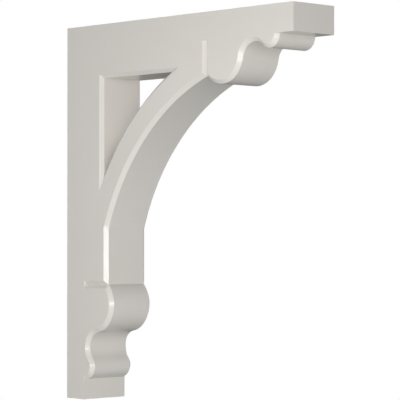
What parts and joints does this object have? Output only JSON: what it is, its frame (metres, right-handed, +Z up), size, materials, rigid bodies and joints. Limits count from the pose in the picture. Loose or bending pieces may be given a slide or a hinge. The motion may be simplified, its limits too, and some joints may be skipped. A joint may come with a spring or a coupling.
{
  "type": "porch bracket",
  "caption": "Corner bracket for a porch post and beam: plain L-shaped leg and arm, curved brace and scrolled moulded ends, chamfered and painted off-white.",
  "frame": {"origin": "middle of the flat back face, which goes against the wall or post", "axes": "+X out from the wall along the arm, +Y across the thickness, +Z up along the leg"},
  "size_m": [0.821, 0.139, 0.965],
  "materials": {
    "paint": "satin off-white exterior paint on smooth cellular board"
  },
  "bodies": {
    "root": {"bracket": "paint"}
  },
  "joints": []
}
